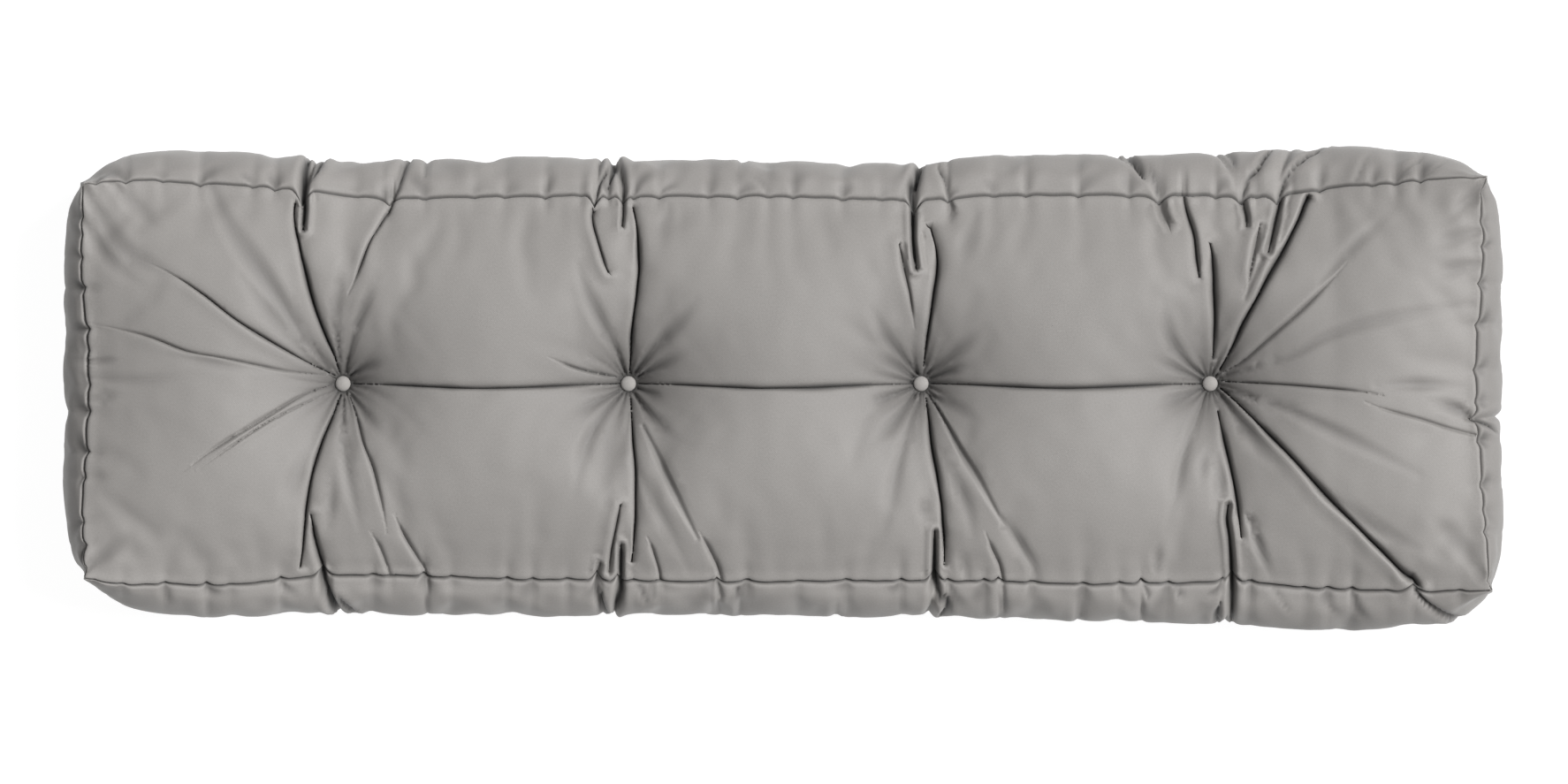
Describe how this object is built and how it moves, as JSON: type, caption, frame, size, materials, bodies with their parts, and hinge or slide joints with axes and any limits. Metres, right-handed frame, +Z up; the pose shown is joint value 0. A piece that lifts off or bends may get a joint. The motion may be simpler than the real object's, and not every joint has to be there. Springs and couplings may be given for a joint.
{
  "type": "bench cushion",
  "caption": "Long fibre-filled box cushion for a bench, with deep button tufts along the middle, radiating folds and a plain-sewn boxing strip.",
  "frame": {"origin": "under the middle of the cushion's plan outline, on the surface it lies on", "axes": "+X along the length, +Y across the width towards the back long side, +Z up out of the tufted face"},
  "size_m": [1.1994, 0.4044, 0.1319],
  "materials": {
    "cover": "matt plain weave, warm mid grey",
    "button": "the cover's cloth stretched over a small dome"
  },
  "bodies": {
    "root": {"cushion_pad": "cover", "button_1": "button", "button_2": "button", "button_3": "button", "button_4": "button"}
  },
  "joints": []
}
